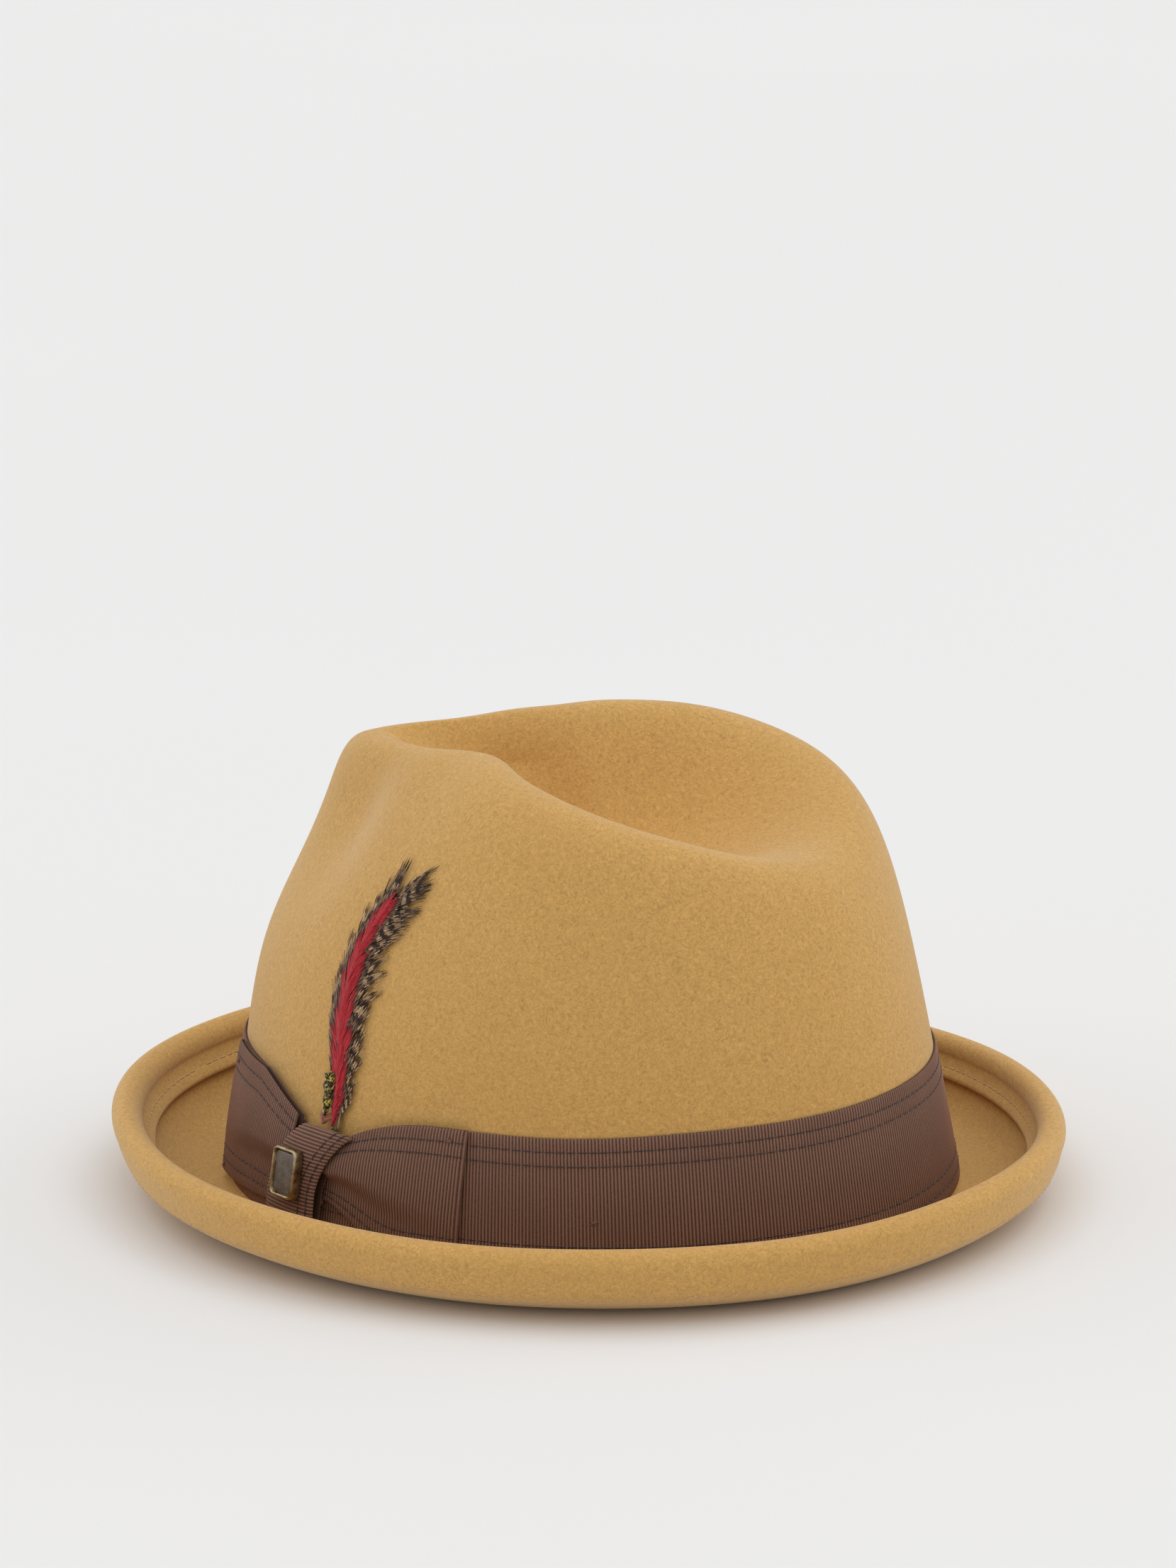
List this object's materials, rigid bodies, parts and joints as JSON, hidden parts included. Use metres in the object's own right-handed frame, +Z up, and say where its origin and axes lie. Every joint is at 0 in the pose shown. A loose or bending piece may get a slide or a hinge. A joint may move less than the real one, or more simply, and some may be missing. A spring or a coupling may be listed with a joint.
{
  "type": "fedora hat",
  "caption": "Short-brimmed tan felt fedora with a pinched crown, rolled stitched brim, brown grosgrain band and bow, small badge and a pull-out feather.",
  "frame": {"origin": "on the surface the hat rests on, below the middle of the head opening", "axes": "+X towards the front of the hat, +Y towards the wearer's left where the bow is, +Z up"},
  "size_m": [0.2668, 0.2328, 0.1266],
  "materials": {
    "felt": "matt wool felt with a short brushed nap",
    "ribbon": "ribbed grosgrain with a low sheen",
    "tan_thread": "matt twisted thread",
    "dark_thread": "matt twisted thread",
    "badge_brass": "antiqued, satin, brighter on worn edges",
    "badge_face": "dull grey, satin",
    "sweatband_leather": "smooth matt leather",
    "lining": "satin lining cloth",
    "red_feather": "dyed feather",
    "barred_feather": "natural barred feather",
    "gold_feather": "glossy dark feather tipped with gold",
    "pink_feather": "soft down"
  },
  "bodies": {
    "hat": {"felt_body": "felt", "brim_stitch_inner": "tan_thread", "brim_stitch_outer": "tan_thread", "hat_band": "ribbon", "band_tack": "dark_thread", "bow_loops": "ribbon", "bow_knot": "ribbon", "bow_tack_front_top": "dark_thread", "bow_tack_front_bottom": "dark_thread", "bow_tack_rear_top": "dark_thread", "bow_tack_rear_bottom": "dark_thread", "badge_frame": "badge_brass", "badge_inlay": "badge_face", "badge_rivet": "badge_face", "sweatband": "sweatband_leather", "sweatband_reed": "sweatband_leather", "sweatband_bow": "ribbon", "lining_side": "lining", "lining_tip": "lining", "lining_piping": "lining"},
    "feather_bunch": {"feather_quills": "barred_feather", "feather_barred": "barred_feather", "feather_red": "red_feather", "feather_gold_tuft": "gold_feather", "feather_fluff": "pink_feather"}
  },
  "joints": [
    {"name": "feather_pull", "type": "slide", "parent": "hat", "child": "feather_bunch", "axis": [-0.0864, -0.1836, 0.9792], "range_m": [0, 0.022]}
  ]
}
